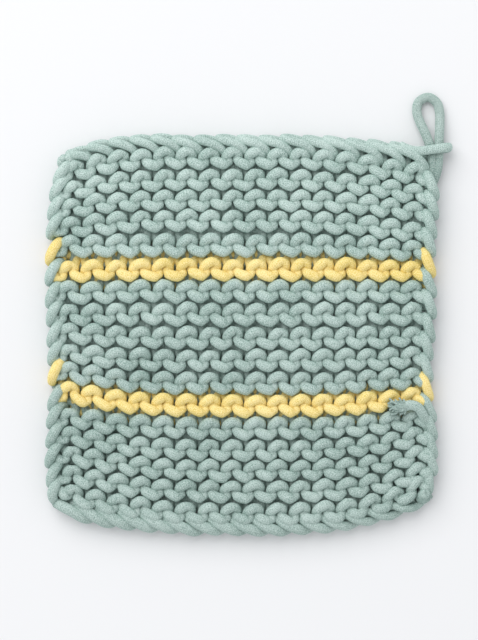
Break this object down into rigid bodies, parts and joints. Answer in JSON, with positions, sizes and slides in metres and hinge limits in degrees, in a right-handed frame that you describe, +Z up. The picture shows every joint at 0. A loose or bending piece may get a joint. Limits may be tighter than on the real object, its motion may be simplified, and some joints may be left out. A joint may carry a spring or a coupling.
{
  "type": "knitted pot holder with hanging loop",
  "caption": "Square pot holder knitted in garter stitch from thick cotton cord, with contrast stripes and a corner loop for hanging.",
  "frame": {"origin": "middle of the whole part's outline, on the surface that it lies on", "axes": "+Z up, out of the knit's face; +Y along the knit towards the bound-off edge and the loop; +X to the right, seen from above"},
  "size_m": [0.2099, 0.2285, 0.013],
  "materials": {
    "sage_cotton": "matt knitted cotton cord, pale sage green",
    "yellow_cotton": "matt knitted cotton cord, soft yellow, used for two ridges of the knit"
  },
  "bodies": {
    "root": {"knit_panel": "sage_cotton", "hanging_loop": "sage_cotton", "loop_band": "sage_cotton"}
  },
  "joints": []
}
